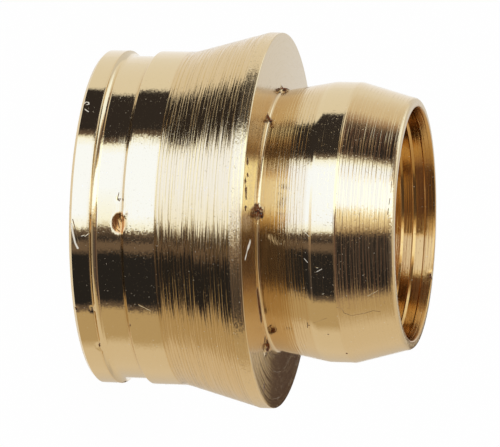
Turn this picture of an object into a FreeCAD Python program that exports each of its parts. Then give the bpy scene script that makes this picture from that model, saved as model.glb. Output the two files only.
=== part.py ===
"""Reducing compression olive: one piece turned from brass bar, for a 15 mm pipe in a 22 mm fitting.

The part stands on its tail, with the bore's axis on +Z and the origin in the middle of the tail's end face.
From the bottom up it has a plain tail with a shallow groove, a cone that widens to the collar, a leaning
shoulder, and a barrel-shaped nose that the nut squeezes on to the pipe. Fine rings line the nose's bore.
"""

import FreeCAD, Part
import math
import os

import Sketcher

NODE = "compression_olive"
PARTS_FOLDER = "parts"

# Driving dimensions, in millimetres, and in degrees where the name says angle or lean.
SIZES = {
    "bore_diameter": 15.1,
    "tail_diameter": 22.0,
    "tail_length": 5.95,
    "tail_edge_bevel": 0.2,
    "tail_bore_bevel": 0.3,
    "end_land_length": 1.37,
    "groove_width": 2.25,
    "groove_depth": 0.35,
    "groove_wall": 0.15,
    "groove_ramp": 0.22,
    "groove_root_bevel": 0.28,
    "collar_overhang": 1.36,
    "collar_land_length": 0.8,
    "collar_edge_bevel": 0.08,
    "seat_half_angle": 15.5,
    "seat_blend_radius": 2.0,
    "shoulder_lean": 6.5,
    "root_bevel": 0.25,
    "nose_wall": 1.66,
    "nose_rise_length": 3.3,
    "nose_land_length": 1.7,
    "nose_taper_length": 3.65,
    "nose_half_angle": 15.5,
    "nose_blend_radius": 2.0,
    "mouth_edge_bevel": 0.2,
    "mouth_flare": 0.12,
    "mouth_bore_bevel": 0.08,
    "ring_first": 0.65,
    "ring_pitch": 0.82,
    "ring_count": 9,
    "ring_crest": 0.03,
    "ring_back": 0.05,
    "ring_depth": 0.17,
    "cut_overrun": 0.5,
}

FULL_TURN = 360
SAME_PLACE = 1e-4


class Measure:
    """A number together with the expression that gives it from the sheet's cells."""

    def __init__(self, value, text):
        self.value = value
        self.text = text

    def __add__(self, other):
        return Measure(self.value + other.value, f"({self.text} + {other.text})")

    def __sub__(self, other):
        return Measure(self.value - other.value, f"({self.text} - {other.text})")

    def __mul__(self, other):
        return Measure(self.value * other.value, f"({self.text} * {other.text})")

    def __truediv__(self, other):
        return Measure(self.value / other.value, f"({self.text} / {other.text})")


def cell(alias):
    return Measure(SIZES[alias], f"sizes.{alias}")


def half(alias):
    return cell(alias) / Measure(2, "2")


def smaller(first, second):
    return Measure(min(first.value, second.value), f"min({first.text}; {second.text})")


def slope(alias):
    """The tangent of an angle that the sheet holds in degrees."""
    return Measure(math.tan(math.radians(SIZES[alias])), f"tan(sizes.{alias} * 1 deg)")


def add_sheet(doc):
    sheet = doc.addObject("Spreadsheet::Sheet", "sizes")
    for row, (alias, number) in enumerate(SIZES.items(), start=1):
        sheet.set(f"A{row}", alias)
        sheet.set(f"B{row}", str(number))
        sheet.setAlias(f"B{row}", alias)
    doc.recompute()


def origin_feature(body, role):
    return next(feature for feature in body.Origin.OriginFeatures if feature.Role == role)


def add_half_section(body, name, corners):
    """A closed half section on the XZ plane: straight lines between (radius, height) corners."""
    sketch = body.newObject("Sketcher::SketchObject", name)
    sketch.AttachmentSupport = [(origin_feature(body, "XZ_Plane"), "")]
    sketch.MapMode = "FlatFace"
    points = [FreeCAD.Vector(radius.value, height.value, 0) for radius, height in corners]
    for start, end in zip(points, points[1:] + points[:1]):
        sketch.addGeometry(Part.LineSegment(start, end), False)
    for index, (radius, height) in enumerate(corners):
        line_before = (index - 1) % len(corners)
        sketch.addConstraint(Sketcher.Constraint("Coincident", line_before, 2, index, 1))
        bind_corner(sketch, f"radius_{index}", "DistanceX", index, radius)
        bind_corner(sketch, f"height_{index}", "DistanceY", index, height)
    return sketch


def bind_corner(sketch, label, kind, line, measure):
    """Ties the start of a line to the sheet, as a distance from the sketch's origin."""
    if measure.value == 0:
        sketch.addConstraint(Sketcher.Constraint("PointOnObject", line, 1, -1))
        return
    index = sketch.addConstraint(Sketcher.Constraint(kind, -1, 1, line, 1, measure.value))
    sketch.renameConstraint(index, label)
    sketch.setExpression(f"Constraints.{label}", measure.text)


def turn(doc, body, kind, name, corners):
    """Turns a half section about the part's axis, to add metal (Revolution) or cut it away (Groove)."""
    volume_before = body.Shape.Volume if body.Tip else 0.0
    sketch = add_half_section(body, f"{name}_section", corners)
    doc.recompute()
    feature = body.newObject(f"PartDesign::{kind}", name)
    feature.Profile = sketch
    feature.ReferenceAxis = (sketch, ["V_Axis"])
    feature.Angle = FULL_TURN
    sketch.Visibility = False
    doc.recompute()
    if abs(feature.Shape.Volume - volume_before) < SAME_PLACE:
        raise RuntimeError(f"{name} changes nothing")
    return feature


def circle_names(shape, corners):
    """The names of the round edges that lie at the given (radius, height) corners."""
    names = []
    for radius, height in corners:
        for index, edge in enumerate(shape.Edges, start=1):
            if not isinstance(edge.Curve, Part.Circle):
                continue
            off_radius = abs(edge.Curve.Radius - radius.value)
            off_height = abs(edge.Curve.Center.z - height.value)
            if max(off_radius, off_height) < SAME_PLACE:
                names.append(f"Edge{index}")
    if len(names) != len(corners):
        raise RuntimeError(f"found {len(names)} edges for {len(corners)} corners")
    return names


def soften(doc, body, kind, name, size, corners):
    """Rounds (Fillet) or bevels (Chamfer) the round edges at the given corners."""
    base = body.Tip
    feature = body.newObject(f"PartDesign::{kind}", name)
    feature.Base = (base, circle_names(base.Shape, corners))
    feature.setExpression("Radius" if kind == "Fillet" else "Size", size.text)
    doc.recompute()


def add_bore_rings(doc, body, bore_radius, length):
    """Cuts the ring nearest the mouth as a saw tooth, and repeats it down the bore.

    Each ring has a narrow crest, a steep back below it, and a long land that leans toward the mouth.
    """
    inside = bore_radius - cell("cut_overrun")
    crest = length - cell("ring_first")
    back_top = crest - cell("ring_crest")
    valley = back_top - cell("ring_back")
    land_bottom = crest - cell("ring_pitch")
    corners = [
        (inside, land_bottom),
        (bore_radius, land_bottom),
        (bore_radius + cell("ring_depth"), valley),
        (bore_radius, back_top),
        (inside, back_top),
    ]
    ring = turn(doc, body, "Groove", "bore_ring", corners)
    pattern = body.newObject("PartDesign::LinearPattern", "bore_rings")
    pattern.Originals = [ring]
    pattern.Direction = (origin_feature(body, "Z_Axis"), [""])
    pattern.Reversed = True
    pattern.Mode = "Spacing"
    pattern.setExpression("Offset", cell("ring_pitch").text)
    pattern.setExpression("Occurrences", cell("ring_count").text)
    body.Tip = pattern
    doc.recompute()


def build_olive(doc):
    body = doc.addObject("PartDesign::Body", NODE)
    body.Label = NODE
    body.Placement = FreeCAD.Placement()

    ground = Measure(0, "0")
    bore_radius = half("bore_diameter")
    tail_radius = half("tail_diameter")
    collar_radius = tail_radius + cell("collar_overhang")
    nose_radius = bore_radius + cell("nose_wall")

    seat_length = cell("collar_overhang") / slope("seat_half_angle")
    collar_bottom = cell("tail_length") + seat_length
    collar_top = collar_bottom + cell("collar_land_length")

    # One square-nosed tool, leaning by the same angle, leaves the shoulder and the nose's rise.
    root_radius = nose_radius - cell("nose_rise_length") * slope("shoulder_lean")
    root_height = collar_top + (collar_radius - root_radius) * slope("shoulder_lean")
    nose_land_bottom = root_height + cell("nose_rise_length")
    nose_land_top = nose_land_bottom + cell("nose_land_length")
    length = nose_land_top + cell("nose_taper_length")
    mouth_radius = nose_radius - cell("nose_taper_length") * slope("nose_half_angle")

    tail_bore_corner = (bore_radius, ground)
    tail_corner = (tail_radius, ground)
    seat_foot = (tail_radius, cell("tail_length"))
    collar_low_corner = (collar_radius, collar_bottom)
    collar_high_corner = (collar_radius, collar_top)
    root_corner = (root_radius, root_height)
    nose_low_corner = (nose_radius, nose_land_bottom)
    nose_high_corner = (nose_radius, nose_land_top)
    mouth_corner = (mouth_radius, length)
    mouth_bore_corner = (bore_radius + cell("mouth_flare"), length)
    flare_foot = (bore_radius, length - cell("ring_first"))
    blank_corners = [
        tail_bore_corner,
        tail_corner,
        seat_foot,
        collar_low_corner,
        collar_high_corner,
        root_corner,
        nose_low_corner,
        nose_high_corner,
        mouth_corner,
        mouth_bore_corner,
        flare_foot,
    ]
    turn(doc, body, "Revolution", "turned_blank", blank_corners)

    # The tail's groove has a steep wall near the end face, with a bevelled root, and a ramp on the far side.
    groove_bottom = cell("end_land_length")
    groove_top = groove_bottom + cell("groove_width")
    groove_floor = tail_radius - cell("groove_depth")
    outside = tail_radius + cell("cut_overrun")
    groove_root = (groove_floor, groove_bottom + cell("groove_wall"))
    groove_corners = [
        (outside, groove_bottom),
        (tail_radius, groove_bottom),
        groove_root,
        (groove_floor, groove_top - cell("groove_ramp")),
        (tail_radius, groove_top),
        (outside, groove_top),
    ]
    turn(doc, body, "Groove", "tail_groove", groove_corners)

    soften(doc, body, "Fillet", "seat_blend", cell("seat_blend_radius"), [seat_foot])
    soften(doc, body, "Fillet", "nose_blend", cell("nose_blend_radius"), [nose_low_corner, nose_high_corner])
    soften(doc, body, "Chamfer", "groove_root_bevel", cell("groove_root_bevel"), [groove_root])
    soften(doc, body, "Chamfer", "tail_bevel", cell("tail_edge_bevel"), [tail_corner])
    soften(doc, body, "Chamfer", "tail_bore_bevel", cell("tail_bore_bevel"), [tail_bore_corner])
    soften(doc, body, "Chamfer", "collar_bevel", cell("collar_edge_bevel"), [collar_high_corner])
    soften(doc, body, "Chamfer", "root_bevel", cell("root_bevel"), [root_corner])

    # However thin the nose is, its two mouth bevels leave some of the end face between them.
    mouth_face = mouth_radius - bore_radius - cell("mouth_flare")
    edge_bevel = smaller(cell("mouth_edge_bevel"), mouth_face / Measure(2, "2"))
    bore_bevel = smaller(cell("mouth_bore_bevel"), mouth_face / Measure(4, "4"))
    soften(doc, body, "Chamfer", "mouth_bevel", edge_bevel, [mouth_corner])
    soften(doc, body, "Chamfer", "mouth_bore_bevel", bore_bevel, [mouth_bore_corner])

    add_bore_rings(doc, body, bore_radius, length)
    return body


def check_and_write(doc, body):
    doc.recompute()
    for item in doc.Objects:
        if "Invalid" in item.State or "Error" in item.State:
            raise RuntimeError(f"{item.Name} is in state {item.State}")
    shape = body.Shape
    if shape.isNull() or not shape.isValid() or len(shape.Solids) != 1:
        raise RuntimeError("the olive is not one valid solid")
    os.makedirs(PARTS_FOLDER, exist_ok=True)
    shape.exportStep(f"{PARTS_FOLDER}/{NODE}.step")


def main():
    doc = FreeCAD.newDocument("olive")
    add_sheet(doc)
    body = build_olive(doc)
    check_and_write(doc, body)


main()
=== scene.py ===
"""Looks of the reducing compression olive: one turned brass piece on a pale studio floor.

Lengths in the tables are millimetres, as on a drawing, and become metres where geometry is made.
Bearings are degrees about the part's axis: 0 faces the camera, and positive is the side that is
uppermost in the picture.
"""

import math

import bpy
import numpy as np
from mathutils import Matrix, Vector


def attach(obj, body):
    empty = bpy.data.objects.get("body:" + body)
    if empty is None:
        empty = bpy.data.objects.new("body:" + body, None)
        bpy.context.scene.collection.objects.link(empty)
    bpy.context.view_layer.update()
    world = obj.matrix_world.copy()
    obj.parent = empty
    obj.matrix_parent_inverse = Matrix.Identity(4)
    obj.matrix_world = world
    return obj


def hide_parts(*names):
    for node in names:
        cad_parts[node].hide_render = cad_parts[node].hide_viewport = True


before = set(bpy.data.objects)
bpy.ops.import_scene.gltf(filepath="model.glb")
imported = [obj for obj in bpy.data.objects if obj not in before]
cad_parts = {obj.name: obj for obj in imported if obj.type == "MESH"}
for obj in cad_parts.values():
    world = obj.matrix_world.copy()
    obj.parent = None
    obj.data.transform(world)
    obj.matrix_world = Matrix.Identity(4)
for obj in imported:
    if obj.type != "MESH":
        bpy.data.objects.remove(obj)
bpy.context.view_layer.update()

MM = 0.001

# Sizes of the section, as the CAD part has them.
# The collar is a hair smaller, so that it lies inside the CAD part's facets.
BORE_RADIUS = 7.55
TAIL_RADIUS = 11.0
TAIL_LENGTH = 5.95
TAIL_BEVEL = 0.2
END_LAND = 1.37
GROOVE_WIDTH = 2.25
GROOVE_DEPTH = 0.35
GROOVE_WALL = 0.15
GROOVE_RAMP = 0.22
COLLAR_RADIUS = 12.358
COLLAR_LAND = 0.8
SEAT_SLOPE = math.tan(math.radians(15.5))
NOSE_RADIUS = 9.21
NOSE_LAND = 1.7
NOSE_TAPER = 3.65
MOUTH_FLARE = 0.12
RING_FIRST = 0.65
RING_PITCH = 0.82
RING_COUNT = 9
RING_DEPTH = 0.17
RING_CREST = 0.03
RING_BACK = 0.05
MOUTH_BORE_EDGE = 0.08
TAIL_BORE_EDGE = 0.3
LENGTH = 20.7057

# The shoulder is a little flatter than the CAD part's and meets the nose a little deeper.
SHOULDER_SLOPE = math.tan(math.radians(3.0))
ROOT_RADIUS = 8.55

COLLAR_BOTTOM = TAIL_LENGTH + (COLLAR_RADIUS - TAIL_RADIUS) / SEAT_SLOPE
COLLAR_TOP = COLLAR_BOTTOM + COLLAR_LAND
ROOT_HEIGHT = COLLAR_TOP + (COLLAR_RADIUS - ROOT_RADIUS) * SHOULDER_SLOPE
NOSE_LAND_TOP = LENGTH - NOSE_TAPER
NOSE_LAND_BOTTOM = NOSE_LAND_TOP - NOSE_LAND
MOUTH_RADIUS = NOSE_RADIUS - NOSE_TAPER * SEAT_SLOPE


def place_at(bearing, radius, height):
    """A point given by its bearing, radius and height, in millimetres."""
    angle = math.radians(bearing)
    return np.array((-radius * math.sin(angle), -radius * math.cos(angle), height))


# Camera

IMAGE_WIDTH = 500
FOCAL_PIXELS = 5317
SENSOR_WIDTH = 36
CAMERA_DISTANCE = 350.0
CAMERA_ELEVATION = math.radians(11.666)
CAMERA_ROLL = math.radians(1.45)
CAMERA_AIM = Vector((0, 0, 10.0))
CAMERA_SIDESTEP = 0.36
CAMERA_LIFT = 0.235
NEAREST_SEEN = 10.0


def add_camera():
    """The part stands upright and the camera lies on its side, so the axis runs across the picture."""
    toward = Vector((0, -math.cos(CAMERA_ELEVATION), math.sin(CAMERA_ELEVATION)))
    level_right = Vector((0, math.sin(CAMERA_ELEVATION), math.cos(CAMERA_ELEVATION)))
    level_up = Vector((-1, 0, 0))
    right = math.cos(CAMERA_ROLL) * level_right + math.sin(CAMERA_ROLL) * level_up
    up = math.cos(CAMERA_ROLL) * level_up - math.sin(CAMERA_ROLL) * level_right
    place = CAMERA_AIM + CAMERA_DISTANCE * toward - CAMERA_SIDESTEP * right - CAMERA_LIFT * up
    data = bpy.data.cameras.new("photo_camera")
    data.sensor_width = SENSOR_WIDTH
    data.lens = FOCAL_PIXELS / IMAGE_WIDTH * SENSOR_WIDTH
    data.clip_start = NEAREST_SEEN * MM
    camera = bpy.data.objects.new("photo_camera", data)
    turn = Matrix((right, up, toward)).transposed().to_4x4()
    camera.matrix_world = Matrix.Translation(place * MM) @ turn
    bpy.context.scene.collection.objects.link(camera)
    bpy.context.scene.camera = camera


# Turned section: corners with their rounding, and the stretches between them

ROOT_ROUNDING = 0.18
FINE_ROW = 0.13
MIDDLE_ROW = 0.18
COARSE_ROW = 0.5
BORE_ROW = 1.0

# A ring's land is nearly level for most of its length, and a steeper lip ends it at the crest.
RING_LIP_LENGTH = 0.2
RING_LIP_DEPTH = 0.42

# Where rows lie on a flat stretch of a ring, close to its two ends so that it shades flat.
RING_SHARES = (0.0, 0.06, 0.5, 0.94)

# Corner radius, corner height, its rounding, steps round it, the stretch that follows, its row spacing.
SECTION = [
    (BORE_RADIUS, 0.0, TAIL_BORE_EDGE, 3, "tail_end", COARSE_ROW),
    (TAIL_RADIUS - TAIL_BEVEL, 0.0, 0.03, 2, "tail_bevel", FINE_ROW),
    (TAIL_RADIUS, TAIL_BEVEL, 0.03, 3, "end_land", FINE_ROW),
    (TAIL_RADIUS, END_LAND, 0.04, 3, "groove_wall", FINE_ROW),
    (TAIL_RADIUS - GROOVE_DEPTH, END_LAND + GROOVE_WALL, 0.5, 9, "groove_floor", FINE_ROW),
    (TAIL_RADIUS - GROOVE_DEPTH, END_LAND + GROOVE_WIDTH - GROOVE_RAMP, 0.06, 3, "groove_ramp", FINE_ROW),
    (TAIL_RADIUS, END_LAND + GROOVE_WIDTH, 0.06, 4, "second_land", FINE_ROW),
    (TAIL_RADIUS, TAIL_LENGTH, 2.0, 6, "seat_cone", FINE_ROW),
    (COLLAR_RADIUS, COLLAR_BOTTOM, 0.1, 2, "collar_land", FINE_ROW),
    (COLLAR_RADIUS, COLLAR_TOP, 0.06, 4, "shoulder", MIDDLE_ROW),
    (ROOT_RADIUS, ROOT_HEIGHT, ROOT_ROUNDING, 8, "nose_rise", MIDDLE_ROW),
    (NOSE_RADIUS, NOSE_LAND_BOTTOM, 2.0, 4, "nose_land", FINE_ROW),
    (NOSE_RADIUS, NOSE_LAND_TOP, 0.6, 4, "nose_taper", MIDDLE_ROW),
    (MOUTH_RADIUS, LENGTH, 0.3, 6, "mouth_end", FINE_ROW),
    (BORE_RADIUS + MOUTH_FLARE, LENGTH, MOUTH_BORE_EDGE, 4, "mouth_flare", FINE_ROW),
    (BORE_RADIUS, LENGTH - RING_FIRST, 0.01, 2, "bore", FINE_ROW),
]


def unit(vector):
    return vector / np.linalg.norm(vector)


def corner_arc(before, corner, after, rounding, steps):
    """Points on the arc that rounds a corner, from the stretch before it to the stretch after."""
    back, ahead = unit(before - corner), unit(after - corner)
    half_angle = math.acos(np.clip(back @ ahead, -1, 1)) / 2
    reach = rounding / math.tan(half_angle)
    centre = corner + unit(back + ahead) * rounding / math.sin(half_angle)
    start, end = corner + back * reach - centre, corner + ahead * reach - centre
    sweep = math.acos(np.clip(unit(start) @ unit(end), -1, 1))
    shares = np.linspace(0, 1, steps + 1)
    return [centre + (math.sin((1 - t) * sweep) * start + math.sin(t * sweep) * end) / math.sin(sweep)
            for t in shares]


def fill(start, end, spacing):
    """Points that divide a straight stretch, without its two ends."""
    count = max(1, math.ceil(np.linalg.norm(end - start) / spacing))
    return [start + (end - start) * step / count for step in range(1, count)]


def ring_points():
    """The bore from its first ring to its tail, with a steep back and a long land to each ring."""
    points = []
    for number in range(RING_COUNT):
        crest = LENGTH - RING_FIRST - number * RING_PITCH
        valley = np.array((BORE_RADIUS + RING_DEPTH, crest - RING_CREST - RING_BACK))
        land_end = np.array((BORE_RADIUS, crest - RING_PITCH))
        lip = land_end + (valley - land_end) * (RING_LIP_DEPTH, RING_LIP_LENGTH)
        points.append(np.array((BORE_RADIUS, crest - RING_CREST)))
        for start, end in ((valley, lip), (lip, land_end)):
            points += [start + (end - start) * share for share in RING_SHARES]
        points.append(land_end)
    tail = np.array((BORE_RADIUS, TAIL_BORE_EDGE))
    return points + fill(land_end, tail, BORE_ROW)


def section_rows():
    """The whole closed section as (radius, height, stretch) rows, in millimetres."""
    corners = [np.array(entry[:2]) for entry in SECTION]
    rows = []
    for index, (_, _, rounding, steps, stretch, _) in enumerate(SECTION):
        ahead = corners[(index + 1) % len(corners)]
        arc = corner_arc(corners[index - 1], corners[index], ahead, rounding, steps)
        if rows:
            before, spacing = SECTION[index - 1][4:]
            rows += [(*point, before) for point in fill(np.array(rows[-1][:2]), arc[0], spacing)]
        rows += [(*point, stretch) for point in arc]
    return rows + [(*point, "bore") for point in ring_points()]


# Lathe mesh, close-set on the side that shows the marks

FRONT_HALF_SPAN = 84.0
FRONT_STEP = 0.8
BACK_STEP = 3.2
FAR_NICK_BEARING = 205.5
FAR_NICK_SPAN = 8.0


def bearings():
    """Bearings of the mesh's columns, once round."""
    turns = []
    bearing = -FRONT_HALF_SPAN
    while bearing < 360 - FRONT_HALF_SPAN - FRONT_STEP:
        turns.append(bearing)
        close = bearing < FRONT_HALF_SPAN or abs(bearing - FAR_NICK_BEARING) < FAR_NICK_SPAN
        bearing += FRONT_STEP if close else BACK_STEP
    return np.array(turns)


class Lathe:
    """The section turned about Z, as grids of points, outward normals and section lengths."""

    def __init__(self):
        self.rows = section_rows()
        self.turns = bearings()
        outline = np.array([row[:2] for row in self.rows])
        steps = np.roll(outline, -1, axis=0) - outline
        lengths = np.linalg.norm(steps, axis=1)
        self.along = np.concatenate([[0], np.cumsum(lengths)])
        ways = steps / lengths[:, None]
        tangent = ways + np.roll(ways, 1, axis=0)
        self.tangent = tangent / np.linalg.norm(tangent, axis=1)[:, None]
        self.outline = outline
        self.points = self.turned(outline)
        self.normals = self.turned(np.stack([self.tangent[:, 1], -self.tangent[:, 0]], axis=1))

    def turned(self, pairs):
        """Pairs of (radius, height), turned to every bearing."""
        angle = np.radians(self.turns)
        x = -np.outer(pairs[:, 0], np.sin(angle))
        y = -np.outer(pairs[:, 0], np.cos(angle))
        z = np.repeat(pairs[:, 1:], len(angle), axis=1)
        return np.stack([x, y, z], axis=-1)

    def nearness(self, bearing, radius, height, half_around, half_along):
        """How near each point is to a place on the surface: 1 there, 0 on the ellipse round it."""
        place = place_at(bearing, radius, height)
        around = place_at(bearing + 90, 1, 0)
        row = np.argmin(np.linalg.norm(self.outline - (radius, height), axis=1))
        along = place_at(bearing, *self.tangent[row])
        offset = self.points - place
        through = np.cross(around, along)
        return 1 - np.sqrt((offset @ around / half_around) ** 2 + (offset @ along / half_along) ** 2
                           + (offset @ through / max(half_around, half_along)) ** 2)


# Marks. Each place is a bearing, a radius and a height.

# Place, half sizes around and along, and how deep it is cut, or raised where that is below zero.
NICKS = [
    ((-2.2, 10.8, 3.3), 0.72, 0.5, 0.1),
    ((0.9, 10.95, 3.62), 0.3, 0.3, -0.04),
    ((6.4, 10.65, 3.2), 0.32, 0.15, 0.04),
    ((-6.5, 10.95, 0.35), 0.95, 0.22, 0.04),
    ((-6.5, 11.0, 0.75), 0.8, 0.18, -0.02),
    ((41.8, 10.95, 0.3), 0.3, 0.25, 0.03),
    ((40.4, 11.0, 0.35), 0.25, 0.2, -0.03),
    ((37.8, 11.0, 0.45), 0.25, 0.2, 0.03),
    ((-33.3, 10.97, 0.2), 0.2, 0.22, 0.07),
    ((-33.0, 11.0, 1.33), 0.2, 0.2, 0.08),
    ((-50.3, 10.97, 1.38), 0.45, 0.2, 0.08),
    ((-39.7, 11.0, 3.63), 0.2, 0.16, 0.06),
    ((-10.2, 10.8, 11.74), 0.6, 0.3, 0.03),
    ((-38.5, 8.95, 11.83), 1.3, 0.22, 0.04),
    ((3.4, 8.66, 11.9), 0.45, 0.2, -0.16),
    ((48.5, 8.8, 11.84), 0.22, 0.3, -0.16),
    ((80.0, 8.6, 12.02), 0.42, 0.4, -0.25),
    ((-62.4, 9.3, 11.81), 0.4, 0.45, -0.24),
    ((FAR_NICK_BEARING, 7.8, 20.68), 0.35, 0.25, 0.1),
]

# Place, and half sizes around and along, of dried brown grime and dark pits.
GRIME = [
    ((3.4, 8.68, 11.88), 0.58, 0.24),
    ((4.6, 9.1, 11.82), 0.4, 0.36),
    ((2.4, 8.62, 12.15), 0.34, 0.22),
    ((80.0, 8.6, 12.02), 0.5, 0.45),
    ((80.0, 8.87, 13.54), 0.15, 0.25),
    ((48.5, 8.8, 11.84), 0.3, 0.45),
    ((-62.4, 9.3, 11.81), 0.5, 0.55),
    ((-58.0, 9.1, 11.83), 0.2, 0.3),
    ((-69.5, 11.6, 11.69), 0.3, 0.3),
    ((18.5, 11.75, 11.69), 0.32, 0.34),
    ((14.3, 11.5, 11.7), 0.18, 0.34),
    ((11.8, 11.9, 11.68), 0.22, 0.34),
    ((9.3, 11.6, 11.69), 0.3, 0.34),
    ((7.4, 11.55, 11.7), 0.25, 0.34),
    ((3.6, 11.5, 11.7), 0.2, 0.34),
    ((-33.3, 10.97, 0.22), 0.15, 0.16),
    ((-33.0, 11.0, 1.3), 0.15, 0.14),
    ((-50.3, 10.97, 1.4), 0.3, 0.1),
    ((-39.7, 11.0, 3.63), 0.14, 0.1),
    ((5.9, 10.65, 3.16), 0.1, 0.1),
    ((-47.2, 9.13, 14.96), 0.09, 0.09),
    ((-52.2, 9.2, 16.17), 0.1, 0.09),
    ((-67.7, 9.2, 16.99), 0.12, 0.1),
    ((FAR_NICK_BEARING + 1, 7.72, 20.62), 0.3, 0.2),
]

# Place and half sizes of torn metal.
TORN = [
    ((-2.2, 10.8, 3.3), 0.8, 0.56),
]

# Kind, half width, and the places that the stroke runs through.
STROKES = [
    ("grime_and_shade", 0.3, [(-30.5, 8.95, 11.8), (-46.4, 8.95, 11.8)]),
    ("grime_and_shade", 0.065, [(1.0, 10.98, 3.67), (-1.1, 10.64, 2.84), (-4.2, 10.64, 3.07), (-5.1, 10.64, 3.28)]),
    ("grime_and_shade", 0.04, [(-5.1, 10.64, 3.28), (-3.2, 10.97, 3.64)]),
    ("grime_and_shade", 0.05, [(-1.4, 10.55, 3.15), (-4.0, 10.6, 3.28)]),
    ("grime_and_shade", 0.05, [(-1.0, 10.56, 3.39), (-4.4, 10.7, 3.47)]),
    ("grime_and_shade", 0.035, [(8.2, 10.64, 3.18), (6.0, 10.63, 3.1), (5.3, 10.63, 3.23), (6.2, 10.63, 3.32)]),
    # Painted shadow: the dark line beside the dent in the tail's rim.
    ("grime_and_shade", 0.045, [(-1.4, 10.99, 0.29), (-4.3, 10.96, 0.45), (-7.6, 10.97, 0.62), (-10.1, 11.0, 0.73)]),
    # Painted shade: the dark inside of the curled nick on the tail's rim.
    ("grime_and_shade", 0.035, [(40.9, 11.0, 0.18), (40.3, 10.99, 0.32)]),
    ("grime_and_shade", 0.03, [(18.9, 8.27, 20.44), (13.8, 8.26, 20.44)]),
    ("grime_and_shade", 0.03, [(11.0, 8.28, 20.41), (8.3, 8.28, 20.37)]),
    ("grime_and_shade", 0.03, [(6.5, 8.29, 20.35), (3.8, 8.3, 20.3)]),
    ("grime_and_shade", 0.022, [(-36.6, 9.21, 16.99), (-37.4, 9.13, 17.29), (-39.9, 9.11, 17.41),
                      (-41.9, 8.98, 17.85), (-41.6, 8.75, 18.72), (-40.9, 8.61, 19.2),
                      (-42.2, 8.49, 19.65)]),
    ("grime_and_shade", 0.014, [(-45.4, 9.2, 15.3), (-42.3, 9.21, 16.24)]),
    ("grime_and_shade", 0.035, [(-45.8, 9.12, 14.89), (-48.9, 9.11, 14.84)]),
    ("fleck_and_highlight", 0.24, [(-8.0, 10.2, 11.76), (-9.6, 10.6, 11.73)]),
    ("fleck_and_highlight", 0.16, [(-9.6, 10.6, 11.73), (-12.6, 11.45, 11.7)]),
    # Painted highlight: the white of the dent in the tail's rim.
    ("fleck_and_highlight", 0.1, [(-3.0, 10.98, 0.2), (-6.0, 10.95, 0.3), (-9.3, 10.96, 0.45), (-11.0, 11.0, 0.62)]),
    # Painted highlights: the white of the curled nick on the tail's rim and of the nick beside it.
    ("fleck_and_highlight", 0.05, [(41.2, 10.98, 0.2), (42.0, 10.97, 0.3), (41.8, 10.98, 0.47), (40.9, 11.0, 0.53),
                     (40.6, 11.0, 0.39)]),
    ("fleck_and_highlight", 0.045, [(38.7, 10.98, 0.33), (37.6, 10.97, 0.61)]),
    ("scratch", 0.03, [(-6.9, 10.99, 0.85), (-6.5, 10.99, 1.07)]),
    ("scratch", 0.03, [(-6.9, 10.99, 1.1), (-6.0, 10.99, 1.35)]),
    # Painted highlight: the white line of a scratch on the nose.
    ("fleck_and_highlight", 0.03, [(-15.2, 9.15, 15.07), (-16.7, 9.19, 15.28)]),
    ("scratch", 0.022, [(-18.4, 9.19, 15.71), (-18.9, 9.2, 15.95)]),
    # Painted highlight: the white line of a scratch on the nose.
    ("fleck_and_highlight", 0.03, [(-20.5, 9.2, 15.86), (-19.3, 9.2, 16.2)]),
    ("scratch", 0.03, [(-4.2, 9.16, 15.1), (-6.1, 9.21, 15.43)]),
    ("scratch", 0.03, [(-32.8, 8.67, 18.99), (-30.7, 8.48, 19.63)]),
    ("scratch", 0.03, [(-30.9, 11.0, 4.41), (-33.2, 11.0, 5.16)]),
]

# Olive mesh

# Roughness, turning ridges, grain, tarnish and pits of each stretch.
FINISH = {
    "tail_end": (0.3, 0.8, 0.4, 0.2, 0.3),
    "tail_bevel": (0.25, 0.1, 0.8, 0.1, 0.8),
    "end_land": (0.08, 0.06, 0.15, 0.0, 0.15),
    "groove_wall": (0.16, 0.1, 0.35, 0.15, 0.1),
    "groove_floor": (0.08, 0.06, 0.15, 0.0, 0.15),
    "groove_ramp": (0.16, 0.1, 0.35, 0.15, 0.1),
    "second_land": (0.08, 0.08, 0.18, 0.0, 0.15),
    "seat_cone": (0.12, 1.0, 0.15, 0.28, 0.3),
    "collar_land": (0.2, 0.4, 0.5, 0.15, 0.5),
    "shoulder": (0.09, 0.35, 0.05, 0.1, 0.4),
    "root": (0.14, 0.1, 0.2, 0.25, 0.3),
    "nose_foot": (0.12, 0.35, 0.15, 0.45, 0.2),
    "nose_rise": (0.1, 0.38, 0.15, 0.2, 0.2),
    "nose_land": (0.08, 0.06, 0.08, 0.0, 0.15),
    "nose_taper": (0.09, 0.32, 0.12, 0.1, 0.2),
    "mouth_end": (0.2, 0.2, 0.4, 0.1, 0.2),
    "mouth_flare": (0.18, 0.3, 0.2, 1.0, 0.2),
    "bore": (0.12, 0.12, 0.1, 1.0, 0.2),
}
FOOT_FADE = 1.8
FINISH_NAMES = ("row_roughness", "row_ridges", "row_grain", "row_tarnish", "row_pits")


def row_finish(height, stretch):
    """The finish of one row. The nose's rise is browner near its foot, above the rounded root."""
    finish = np.array(FINISH[stretch])
    if stretch != "nose_rise":
        return finish
    risen = (height - ROOT_HEIGHT - ROOT_ROUNDING) / FOOT_FADE
    if risen < 0:
        return np.array(FINISH["root"])
    risen = min(risen, 1)
    return np.array(FINISH["nose_foot"]) * (1 - risen) + finish * risen


def add_values(mesh, name, values):
    """Keeps one number for each point of a mesh, for its material to read."""
    attribute = mesh.attributes.new(name, "FLOAT", "POINT")
    attribute.data.foreach_set("value", np.ascontiguousarray(values, np.float32).ravel())


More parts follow.
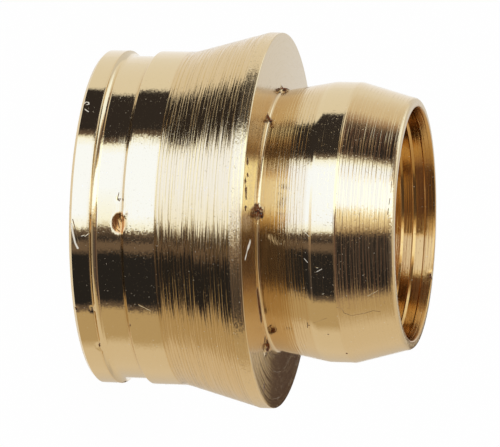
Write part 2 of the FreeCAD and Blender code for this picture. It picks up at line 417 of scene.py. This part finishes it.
def cut_nicks(lathe):
    """The lathe's points with every nick cut into them and every crumb raised from them."""
    points = lathe.points.copy()
    for place, half_around, half_along, depth in NICKS:
        near = np.clip(lathe.nearness(*place, half_around, half_along), 0, 1)
        points -= lathe.normals * (depth * near * (2 - near))[..., None]
    return points


def nearest_of(lathe, patches):
    """How near each point is to the nearest of some patches."""
    return np.max([lathe.nearness(*place, *halves) for place, *halves in patches], axis=0)


def lathe_faces(row_count, turn_count):
    """Quads between neighbouring rows and columns, closed both ways."""
    row, turn = np.meshgrid(np.arange(row_count), np.arange(turn_count), indexing="ij")
    above, beside = (row + 1) % row_count, (turn + 1) % turn_count
    corners = [row * turn_count + turn, above * turn_count + turn,
               above * turn_count + beside, row * turn_count + beside]
    return np.stack(corners, axis=-1).reshape(-1, 4)


def add_unrolled_map(mesh, lathe):
    """A texture map of the unrolled surface: bearing across, section length up."""
    across = np.append((lathe.turns - lathe.turns[0]) / 360, 1.0)
    up = lathe.along / lathe.along[-1]
    row, turn = np.meshgrid(np.arange(len(lathe.rows)), np.arange(len(lathe.turns)), indexing="ij")
    u = across[np.stack([turn, turn, turn + 1, turn + 1], axis=-1)]
    v = up[np.stack([row, row + 1, row + 1, row], axis=-1)]
    layer = mesh.uv_layers.new(name="OFBake")
    layer.uv.foreach_set("vector", np.stack([u, v], axis=-1).astype(np.float32).ravel())


def add_olive():
    """The olive's mesh, with the values that its material reads."""
    lathe = Lathe()
    row_count, turn_count = len(lathe.rows), len(lathe.turns)
    points = cut_nicks(lathe).reshape(-1, 3) * MM
    faces = lathe_faces(row_count, turn_count)
    mesh = bpy.data.meshes.new("turned_olive")
    mesh.from_pydata(points.tolist(), [], faces.tolist())
    add_unrolled_map(mesh, lathe)
    add_values(mesh, "along", np.repeat(lathe.along[:-1], turn_count))
    finishes = np.array([row_finish(*row[1:]) for row in lathe.rows])
    for name, values in zip(FINISH_NAMES, finishes.T):
        add_values(mesh, name, np.repeat(values, turn_count))
    add_values(mesh, "grime_and_shade", nearest_of(lathe, GRIME))
    add_values(mesh, "torn", nearest_of(lathe, TORN))
    mesh.shade_smooth()
    olive = bpy.data.objects.new("turned_olive", mesh)
    bpy.context.scene.collection.objects.link(olive)
    return olive


# Materials

# Places of a Mix node's share and two colours among its inputs, and of its colour among its outputs.
MIX_INPUTS = (0, 6, 7)
MIX_RESULT = 2


class Shading:
    """A node tree, with short forms for the nodes that the materials use."""

    def __init__(self, tree):
        self.tree = tree

    def node(self, kind, **settings):
        node = self.tree.nodes.new(f"ShaderNode{kind}")
        for name, value in settings.items():
            setattr(node, name, value)
        return node

    def put(self, node, socket, value):
        """Sets a node's input to a number, a vector or another node's output."""
        if isinstance(value, bpy.types.NodeSocket):
            self.tree.links.new(value, node.inputs[socket])
        else:
            node.inputs[socket].default_value = value

    def maths(self, operation, *terms, clamp=False):
        node = self.node("Math", operation=operation, use_clamp=clamp)
        for socket, term in enumerate(terms):
            self.put(node, socket, term)
        return node.outputs[0]

    def vectors(self, operation, *terms, output="Vector"):
        node = self.node("VectorMath", operation=operation)
        for socket, term in enumerate(terms):
            self.put(node, socket, term)
        return node.outputs[output]

    def value(self, attribute_name):
        return self.node("Attribute", attribute_name=attribute_name).outputs["Fac"]

    def noise(self, place, scale, detail=2.0):
        node = self.node("TexNoise")
        self.put(node, "Vector", place)
        self.put(node, "Scale", scale)
        self.put(node, "Detail", detail)
        return node.outputs[0]

    def step(self, value, low, high, to_low=0.0, to_high=1.0):
        """Carries a value smoothly from one level to another as it goes from low to high."""
        node = self.node("MapRange", interpolation_type="SMOOTHSTEP")
        for socket, term in enumerate((value, low, high, to_low, to_high)):
            self.put(node, socket, term)
        return node.outputs["Result"]

    def blend(self, share, first, second):
        """Carries one colour into another as the share goes from 0 to 1."""
        node = self.node("Mix", data_type="RGBA")
        for socket, term in zip(MIX_INPUTS, (share, first, second)):
            self.put(node, socket, term)
        return node.outputs[MIX_RESULT]


def new_material(name):
    """A new material, and its nodes."""
    material = bpy.data.materials.new(name)
    material.use_nodes = True
    return material, Shading(material.node_tree)


# Turned brass

BRASS = (0.74, 0.59, 0.36, 1)
# Painted reflection: gold that stands for light bounced twice in the turning lines' grooves.
TWICE_BOUNCED_GOLD = (0.6, 0.42, 0.14, 1)
TARNISH = (0.57, 0.34, 0.12, 1)
TORN_METAL = (0.66, 0.36, 0.13, 1)
# Grime colours, also painted as shadow beside the dent and the curled nick on the tail's rim.
GRIME_AND_SHADE_BROWN = (0.17, 0.052, 0.014, 1)
GRIME_AND_SHADE_BLACK = (0.025, 0.012, 0.008, 1)
# Pale of the flecks, also painted as highlights on the tail rim's nicks and on white scratches of the nose.
PALE_FLECK_AND_HIGHLIGHT = (0.95, 0.91, 0.82, 1)

# Gloss of grime, flecks and the painted shadows and highlights among them, which aren't metal.
MARK_GLOSS = 0.1

# Turning lines, measured along the section in millimetres.
FEED_PITCH = 0.22
FEED_WANDER = 12.0
FEED_RANGE = (0.2, 1.0)
WANDER_SCALE = 2.0
RIDGE_SCALE = 11.0
RIDGE_TILT = 0.36
RIDGE_BLUR = 0.03
BLUR_RANGE = (0.4, 0.7)
LINE_DRIFT = 0.25
LINE_RANGE = (0.3, 0.6)
# Share of the painted twice-bounced gold on the tool's lines.
LINE_BOUNCE_GOLD = 0.55
NOISE_MIDDLE = 0.5

# Grain and marks. A noise's scale is per metre, and a mark comes up between the two levels of its range.
GRAIN_SIZE = 0.09
GRAIN_TILT = 0.2
GRIME_SCALE = 5000
GRIME_SPREAD = 1.6
GRIME_SHIFT = -0.75
GRIME_RANGE = (0.05, 0.4)
GRIME_AND_SHADE_ROUGHNESS = 0.4
CAKED_SCALE = 7000
CAKED_RANGE = (0.45, 0.6)
PIT_SCALE = 6500
PIT_RANGE = (0.66, 0.76)
PIT_DIRT = 0.3
# Painted glints: sparse pale specks that stand for the grain's glints in dark reflections.
GLINT_SPECK_SCALE = 9000
GLINT_SPECK_RANGE = (0.79, 0.86)
GLINT_SPECK_SHARE = 0.4
TORN_RANGE = (0.0, 0.25)
SCRATCH_ROUGHNESS = 0.25
STROKE_CORE = 0.3

# Heights of the fine relief, in millimetres.
FEED_HEIGHT = 0.012
RIDGE_HEIGHT = 0.012
PIT_DEPTH = 0.01
SCRATCH_DEPTH = 0.014


def stroke_share(shading, place, kind):
    """1 on the strokes of one kind and 0 away from them."""
    share = 0.0
    for stroke_kind, half_width, places in STROKES:
        if stroke_kind != kind:
            continue
        corners = [place_at(*corner) * MM for corner in places]
        for start, end in zip(corners[:-1], corners[1:]):
            run = end - start
            offset = shading.vectors("SUBTRACT", place, start)
            reached = shading.vectors("DOT_PRODUCT", offset, run / (run @ run), output="Value")
            reached = shading.maths("MAXIMUM", reached, 0.0, clamp=True)
            nearest = shading.vectors("MULTIPLY", reached, run)
            away = shading.vectors("DISTANCE", offset, nearest, output="Value")
            mask = shading.step(away, STROKE_CORE * half_width * MM, half_width * MM, 1.0, 0.0)
            share = shading.maths("MAXIMUM", mask, share)
    return share


def turning_lines(shading, place):
    """Ridges that run round the part and change slowly on the way, and the tool's lines among them."""
    along = shading.value("along")
    flat = shading.vectors("NORMALIZE", shading.vectors("MULTIPLY", place, (1, 1, 0)))
    drift = shading.vectors("MULTIPLY", flat, (LINE_DRIFT, LINE_DRIFT, 0))
    run = shading.node("CombineXYZ")
    shading.put(run, "Z", along)
    line_place = shading.vectors("ADD", drift, run.outputs[0])
    ridge = shading.noise(line_place, RIDGE_SCALE)
    wander = shading.maths("MULTIPLY", shading.noise(line_place, WANDER_SCALE, detail=1.0), FEED_WANDER)
    turn = shading.maths("MULTIPLY_ADD", along, 2 * math.pi / FEED_PITCH, wander)
    feed = shading.step(shading.maths("SINE", turn), *FEED_RANGE)
    line = shading.maths("MULTIPLY", feed, shading.step(ridge, *LINE_RANGE))
    return ridge, line


def pit_share(shading, place):
    """1 in the deepest pits of the most pitted stretches."""
    noise = shading.noise(place, PIT_SCALE, detail=1.0)
    return shading.maths("MULTIPLY", shading.step(noise, *PIT_RANGE), shading.value("row_pits"))


def grime_and_shade_share(shading, place, pit):
    """1 in grime's ragged spots, along strokes and, thinly, in the pits; some strokes are painted shadow."""
    noise = shading.noise(place, GRIME_SCALE, detail=3.0)
    edge = shading.maths("MULTIPLY_ADD", noise, GRIME_SPREAD, GRIME_SHIFT)
    spot = shading.step(shading.maths("ADD", shading.value("grime_and_shade"), edge), *GRIME_RANGE)
    grime_and_shade = shading.maths("MAXIMUM", spot, stroke_share(shading, place, "grime_and_shade"))
    return shading.maths("MAXIMUM", grime_and_shade, shading.maths("MULTIPLY", pit, PIT_DIRT))


def fleck_and_highlight_share(shading, place):
    """1 on pale flecks and painted highlights, and less on pale specks that are painted glints."""
    noise = shading.noise(place, GLINT_SPECK_SCALE, detail=0.0)
    glint_speck = shading.step(noise, *GLINT_SPECK_RANGE, to_high=GLINT_SPECK_SHARE)
    return shading.maths("MAXIMUM", stroke_share(shading, place, "fleck_and_highlight"), glint_speck)


def brass_colour(shading, place, bounce_gold, grime_and_shade, fleck_and_highlight):
    """Painted twice-bounced light as gold in the turning lines, brown in the bore, and the marks on top."""
    colour = shading.blend(bounce_gold, BRASS, TWICE_BOUNCED_GOLD)
    colour = shading.blend(shading.value("row_tarnish"), colour, TARNISH)
    colour = shading.blend(shading.step(shading.value("torn"), *TORN_RANGE), colour, TORN_METAL)
    caked = shading.step(shading.noise(place, CAKED_SCALE), *CAKED_RANGE)
    colour = shading.blend(grime_and_shade, colour, shading.blend(caked, GRIME_AND_SHADE_BROWN, GRIME_AND_SHADE_BLACK))
    return shading.blend(fleck_and_highlight, colour, PALE_FLECK_AND_HIGHLIGHT)


def brass_roughness(shading, ridges, ridge, grime_and_shade, scratch):
    """Each stretch's own roughness, and more on ridges, grime, painted shadows and scratches."""
    blur = shading.maths("MULTIPLY", shading.step(ridge, *BLUR_RANGE, to_high=RIDGE_BLUR), ridges)
    roughness = shading.maths("ADD", shading.value("row_roughness"), blur)
    roughness = shading.maths("MULTIPLY_ADD", grime_and_shade, GRIME_AND_SHADE_ROUGHNESS, roughness)
    return shading.maths("MULTIPLY_ADD", scratch, SCRATCH_ROUGHNESS, roughness)


def brass_relief(shading, ridges, ridge, line, pit, scratch):
    """Height of the ridges, less the depth of the tool's lines, pits and scratches."""
    height = shading.maths("MULTIPLY", ridge, RIDGE_HEIGHT)
    height = shading.maths("MULTIPLY_ADD", line, -FEED_HEIGHT, height)
    height = shading.maths("MULTIPLY", height, ridges)
    height = shading.maths("MULTIPLY_ADD", pit, -PIT_DEPTH, height)
    return shading.maths("MULTIPLY_ADD", scratch, -SCRATCH_DEPTH, height)


def grain_lean(shading, place):
    """How far each grain leans, by a number of its own."""
    cell = shading.vectors("FLOOR", shading.vectors("MULTIPLY", place, [1 / (GRAIN_SIZE * MM)] * 3))
    noise = shading.node("TexWhiteNoise")
    shading.put(noise, "Vector", cell)
    grain = shading.maths("SUBTRACT", noise.outputs["Value"], NOISE_MIDDLE)
    lean = shading.maths("MULTIPLY", grain, GRAIN_TILT)
    return shading.maths("MULTIPLY", lean, shading.value("row_grain"))


def leaning_normal(shading, place, coarse, ridge):
    """The surface's direction. Lines and grains lean round the part, so reflections have ragged edges."""
    lean = shading.maths("MULTIPLY", shading.maths("SUBTRACT", ridge, NOISE_MIDDLE), RIDGE_TILT)
    lean = shading.maths("MULTIPLY_ADD", lean, coarse, grain_lean(shading, place))
    round_way = shading.node("Tangent", direction_type="RADIAL", axis="Z").outputs[0]
    leaning = shading.vectors("MULTIPLY", lean, round_way)
    facing = shading.vectors("ADD", shading.node("NewGeometry").outputs["Normal"], leaning)
    return shading.vectors("NORMALIZE", facing)


def brass_material():
    material, shading = new_material("turned_brass")
    place = shading.node("TexCoord").outputs["Object"]
    ridges = shading.value("row_ridges")
    coarse = shading.maths("MULTIPLY", ridges, ridges)
    ridge, line = turning_lines(shading, place)
    # The tool's lines get painted gold, a reflection of light bounced twice in their grooves.
    bounce_gold = shading.maths("MULTIPLY", shading.maths("MULTIPLY", line, LINE_BOUNCE_GOLD), coarse)
    pit = pit_share(shading, place)
    # Grime, and strokes of painted shadow beside the tail rim's dent and curled nick.
    grime_and_shade = grime_and_shade_share(shading, place, pit)
    # Pale flecks, painted highlights on the rim's nicks and nose scratches, and painted glints.
    fleck_and_highlight = fleck_and_highlight_share(shading, place)
    scratch = stroke_share(shading, place, "scratch")

    bump = shading.node("Bump")
    shading.put(bump, "Normal", leaning_normal(shading, place, coarse, ridge))
    shading.put(bump, "Distance", MM)
    shading.put(bump, "Height", brass_relief(shading, ridges, ridge, line, pit, scratch))
    shader = shading.tree.nodes["Principled BSDF"]
    shading.put(shader, "Base Color", brass_colour(shading, place, bounce_gold, grime_and_shade, fleck_and_highlight))
    shading.put(shader, "Metallic", shading.maths("SUBTRACT", 1.0, shading.maths("MAXIMUM", fleck_and_highlight, grime_and_shade)))
    shading.put(shader, "Roughness", brass_roughness(shading, ridges, ridge, grime_and_shade, scratch))
    shading.put(shader, "Specular IOR Level", MARK_GLOSS)
    shading.put(shader, "Normal", bump.outputs[0])
    return material


# Brightness of the studio's cards, from the brightest to the darkest

GLARE = (2.0, 2.45, 2.1)
FOOT_GLARE = (1.6, 2.0, 2.6)
SOFTBOX = (1.29, 1.61, 2.45)
SOFTBOX_RIM = (1.28, 1.5, 1.8)
SOFTBOX_EDGE = (0.92, 0.95, 0.9)
GOLD = (1.12, 1.05, 0.8)
PALE = (0.96, 0.96, 0.93)
CREAM = (0.83, 0.74, 0.6)
UNDERSIDE = (0.62, 0.56, 0.48)
WARM = (0.59, 0.47, 0.29)
BORE_BROWN = (0.5, 0.35, 0.2)
DUSK = (0.45, 0.33, 0.25)
DIM_BROWN = (0.19, 0.145, 0.12)
RUSSET = (0.18, 0.115, 0.1)
SHADE = (0.12, 0.1, 0.1)
REAR_BROWN = (0.085, 0.055, 0.042)
UPPER_DARK = (0.038, 0.034, 0.038)
LOWER_DARK = (0.025, 0.025, 0.03)

# Surround: one card on the floor, up round the front and over the part, which only reflections see

# Ends of the surround. It is pale at the first and as bright as the underside at the last.
FIRST_BEARING = 145
LAST_BEARING = -170

GILDING = 10.0
RIM_SHARE = 0.15


def floor_stops(pale_down_to, white_up_to, white_down_to, dark_down_to, gilding=GILDING):
    """Brightness along the floor: where four of its edges lie, and how far its white turns gold below."""
    upper_dark = [
        (pale_down_to, PALE), (pale_down_to - 3, UPPER_DARK), (white_up_to + 6, UPPER_DARK),
        (white_up_to + 1.2, DIM_BROWN),
    ]
    white = [
        (white_up_to, SOFTBOX_EDGE), (white_up_to - 1.5, SOFTBOX_RIM), (white_up_to - 8, SOFTBOX),
        (white_down_to + gilding, SOFTBOX), (white_down_to + RIM_SHARE * gilding, SOFTBOX_RIM),
        (white_down_to, SOFTBOX_EDGE), (white_down_to - 1.2, DIM_BROWN),
    ]
    lower_dark = [
        (-16, UPPER_DARK), (-19, DIM_BROWN), (-23, DIM_BROWN), (-27, LOWER_DARK),
        (dark_down_to, LOWER_DARK), (dark_down_to - 5, DIM_BROWN),
    ]
    underneath = [(dark_down_to - 8, WARM), (-95, WARM), (-104, CREAM), (-135, CREAM)]
    return upper_dark + white + lower_dark + underneath


# Bearings that reflections see, with their brightness: on the floor seen by each stretch, then higher up.
SEEN_BY_END = floor_stops(99, 56, -9, -62)
SEEN_BY_CONE = floor_stops(99, 53, -6.5, -62, gilding=28.0)
SEEN_BY_LAND = floor_stops(99, 57, -9.7, -62)
SEEN_BY_RISE = floor_stops(97, 52, -8, -64)
SEEN_BY_NOSE = floor_stops(102, 53, -9, -62.5)
SEEN_BY_COLLAR = [
    (99, PALE), (96, UPPER_DARK), (62, UPPER_DARK), (57, DIM_BROWN), (56, SOFTBOX_EDGE), (54, SOFTBOX_RIM),
    (48, SOFTBOX), (32, SOFTBOX), (20, SOFTBOX_RIM), (4, GOLD), (-9, CREAM), (-13, WARM), (-17, DUSK),
    (-29, DIM_BROWN), (-40, DIM_BROWN), (-47, SHADE), (-59, SHADE), (-65, DIM_BROWN), (-70, WARM),
    (-95, WARM), (-104, CREAM), (-135, CREAM),
]
LOW = [
    (84, PALE), (74, CREAM), (66, WARM), (60, DUSK), (54, SOFTBOX_EDGE), (49, GLARE), (10, GLARE),
    (6, GOLD), (2, DUSK), (-10, DIM_BROWN), (-45, DIM_BROWN), (-58, DUSK), (-72, WARM), (-98, CREAM),
    (-135, CREAM),
]
RAISED = [
    (106, CREAM), (97, DUSK), (90, DIM_BROWN), (84, RUSSET), (60, RUSSET), (57, DIM_BROWN),
    (54, SOFTBOX_EDGE), (51, SOFTBOX_RIM), (47, SOFTBOX), (14, SOFTBOX), (11, GOLD), (9, DIM_BROWN),
    (6, RUSSET), (-60, RUSSET), (-69, DUSK), (-80, WARM), (-100, CREAM), (-135, CREAM),
]
MIDDLE = [
    (101, PALE), (97, DUSK), (93, DIM_BROWN), (88, LOWER_DARK), (62, LOWER_DARK), (58, DIM_BROWN),
    (55, SOFTBOX_EDGE), (52, SOFTBOX_RIM), (47, SOFTBOX), (14, SOFTBOX), (10, GOLD), (2, GOLD),
    (-4, CREAM), (-7, WARM), (-9.5, DIM_BROWN), (-12, LOWER_DARK), (-58, LOWER_DARK), (-64, DIM_BROWN),
    (-71, WARM), (-90, WARM), (-102, CREAM), (-126, CREAM), (-152, UNDERSIDE),
]
HIGH = [
    (125, SOFTBOX_RIM), (88, SOFTBOX_RIM), (81, CREAM), (75, DUSK), (69, DIM_BROWN), (53, DIM_BROWN),
    (47, WARM), (42, GOLD), (37, FOOT_GLARE), (10, FOOT_GLARE), (3, GOLD), (-4, WARM), (-9, DIM_BROWN),
    (-15, SHADE), (-50, SHADE), (-58, DIM_BROWN), (-66, WARM), (-100, CREAM), (-135, CREAM),
]
OVERHEAD = [
    (60, PALE), (48, SOFTBOX_RIM), (8, SOFTBOX_RIM), (-5, CREAM), (-60, CREAM), (-100, PALE),
]

# The surround's edges, from the part outward, up and back over it: distance out, height, and its stops.
REACH = 170.0
CLEARANCE = 0.02
SURROUND = [
    (0.0, CLEARANCE, SEEN_BY_END),
    (5.0, CLEARANCE, SEEN_BY_END),
    (7.0, CLEARANCE, SEEN_BY_CONE),
    (12.0, CLEARANCE, SEEN_BY_CONE),
    (16.0, CLEARANCE, SEEN_BY_LAND),
    (24.0, CLEARANCE, SEEN_BY_LAND),
    (28.0, CLEARANCE, SEEN_BY_RISE),
    (38.0, CLEARANCE, SEEN_BY_RISE),
    (46.0, CLEARANCE, SEEN_BY_COLLAR),
    (56.0, CLEARANCE, SEEN_BY_COLLAR),
    (64.0, CLEARANCE, SEEN_BY_NOSE),
    (120.0, CLEARANCE, SEEN_BY_NOSE),
    (150.0, CLEARANCE, LOW),
    (REACH, CLEARANCE, LOW),
    (REACH, 22.0, LOW),
    (REACH, 27.0, RAISED),
    (REACH, 56.0, RAISED),
    (REACH, 61.0, MIDDLE),
    (REACH, 84.0, MIDDLE),
    (REACH, 90.0, HIGH),
    (REACH, 190.0, HIGH),
    (0.0, 290.0, OVERHEAD),
]
SURROUND_STEP = 0.5


def level_at(stops, bearing):
    """The brightness at a bearing, between the stops on each side of it."""
    whole = [(FIRST_BEARING, PALE), *stops, (LAST_BEARING, UNDERSIDE)]
    places = [-place for place, level in whole]
    return [np.interp(-bearing, places, [level[band] for place, level in whole]) for band in range(3)]


def sheet_faces(column_count, row_count):
    """Quads between the points of a sheet, which are listed column by column."""
    faces = []
    for column in range(column_count - 1):
        for row in range(row_count - 1):
            corner = column * row_count + row
            faces.append((corner, corner + 1, corner + row_count + 1, corner + row_count))
    return faces


def stage_sheet(name, points, column_count, material):
    """A sheet of the studio, which isn't part of the object."""
    faces = sheet_faces(column_count, len(points) // column_count)
    mesh = bpy.data.meshes.new(name)
    mesh.from_pydata((np.array(points) * MM).tolist(), [], faces)
    mesh.materials.append(material)
    piece = bpy.data.objects.new(name, mesh)
    bpy.context.scene.collection.objects.link(piece)
    return piece


def glow_material(name):
    """A glow whose colour is the mesh's own."""
    material, shading = new_material(name)
    shading.tree.nodes.clear()
    level = shading.node("Attribute", attribute_name="level")
    glow = shading.node("Emission")
    shading.put(glow, "Color", level.outputs["Color"])
    output = shading.node("OutputMaterial")
    shading.put(output, "Surface", glow.outputs[0])
    return material


def add_card(name, points, column_count, levels):
    """A glowing card that only reflections see, with a brightness at each point."""
    card = stage_sheet(name, points, column_count, glow_material(name))
    colours = [(*level, 1.0) for level in levels]
    attribute = card.data.attributes.new("level", "FLOAT_COLOR", "POINT")
    attribute.data.foreach_set("color", np.array(colours, np.float32).ravel())
    for sight in ("camera", "diffuse", "shadow", "transmission", "volume_scatter"):
        setattr(card, f"visible_{sight}", False)


def add_surround():
    """A sheet all round the front. A wall at half a bearing mirrors the camera's line along that bearing."""
    column_count = round((FIRST_BEARING - LAST_BEARING) / SURROUND_STEP) + 1
    points, levels = [], []
    for bearing in np.linspace(FIRST_BEARING, LAST_BEARING, column_count):
        foot = place_at(bearing / 2, TAIL_RADIUS + CLEARANCE, 0)
        way = place_at(bearing, 1, 0)
        for distance, height, stops in SURROUND:
            points.append(foot + way * distance + (0, 0, height))
            levels.append(level_at(stops, bearing))
    add_card("surround", points, column_count, levels)


# Card behind the part, which the shoulder's lower half reflects: heights, each with its brightness.
REAR_SIDES = (5.0, 42.0)
REAR_DISTANCE = 150.0
REAR_STOPS = [(8.0, REAR_BROWN), (48.0, REAR_BROWN), (53.0, WARM), (68.0, CREAM)]


def add_rear_flag():
    points = [(side, REAR_DISTANCE, height) for side in REAR_SIDES for height, level in REAR_STOPS]
    levels = [level for side in REAR_SIDES for height, level in REAR_STOPS]
    add_card("rear_flag", points, len(REAR_SIDES), levels)


# Card on the floor inside the bore, which the bore's wall reflects: painted shade and bounced light for the
# floor there.
BORE_SHADE_HALF = 5.0
BORE_SHADE_HEIGHT = 0.05


def square_points(half, height):
    """Corners of a level square about the part's axis."""
    return [(x, y, height) for y in (-half, half) for x in (-half, half)]


def add_bore_shade():
    corners = square_points(BORE_SHADE_HALF, BORE_SHADE_HEIGHT)
    add_card("bore_shade", corners, 2, [BORE_BROWN] * len(corners))


# Floor, world and key light

FLOOR_HALF = 3000.0
FLOOR_WHITE = (0.92, 0.92, 0.92, 1)
FLOOR_GLOW_SHARE = 0.98
WORLD_LIGHT = 0.75
WORLD_SEEN = 1.0
KEY_LEVEL = 0.8
KEY_SPREAD = math.radians(50)
KEY_TURN = (math.radians(35), math.radians(-25), 0)


def seen_directly(shading):
    """1 for the camera's rays and for those that gloss sends on."""
    path = shading.node("LightPath")
    return shading.maths("MAXIMUM", path.outputs["Is Camera Ray"], path.outputs["Is Glossy Ray"])


def floor_material():
    """A matt white floor that takes shadows, and a white glow where it is seen directly."""
    material, shading = new_material("studio_floor")
    shading.tree.nodes.clear()
    matt = shading.node("BsdfDiffuse")
    shading.put(matt, "Color", FLOOR_WHITE)
    glow = shading.node("Emission")
    mixed = shading.node("MixShader")
    shading.put(mixed, 0, shading.maths("MULTIPLY", seen_directly(shading), FLOOR_GLOW_SHARE))
    shading.put(mixed, 1, matt.outputs[0])
    shading.put(mixed, 2, glow.outputs[0])
    output = shading.node("OutputMaterial")
    shading.put(output, "Surface", mixed.outputs[0])
    return material


def add_floor():
    stage_sheet("studio_floor", square_points(FLOOR_HALF, 0), 2, floor_material())


def add_world():
    world = bpy.data.worlds.new("studio")
    bpy.context.scene.world = world
    world.use_nodes = True
    shading = Shading(world.node_tree)
    shading.tree.nodes.clear()
    glow = shading.node("Background")
    shading.put(glow, "Strength", shading.step(seen_directly(shading), 0, 1, WORLD_LIGHT, WORLD_SEEN))
    output = shading.node("OutputWorld")
    shading.put(output, "Surface", glow.outputs[0])


def add_key_light():
    data = bpy.data.lights.new("key", "SUN")
    data.energy = KEY_LEVEL
    data.angle = KEY_SPREAD
    key = bpy.data.objects.new("key", data)
    key.rotation_euler = KEY_TURN
    bpy.context.scene.collection.objects.link(key)


# Scene

add_camera()
olive = add_olive()
olive.data.materials.append(brass_material())
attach(olive, "root")
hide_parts("compression_olive")
add_floor()
add_world()
add_key_light()
add_surround()
add_rear_flag()
add_bore_shade()
bpy.context.scene.view_settings.view_transform = "Standard"
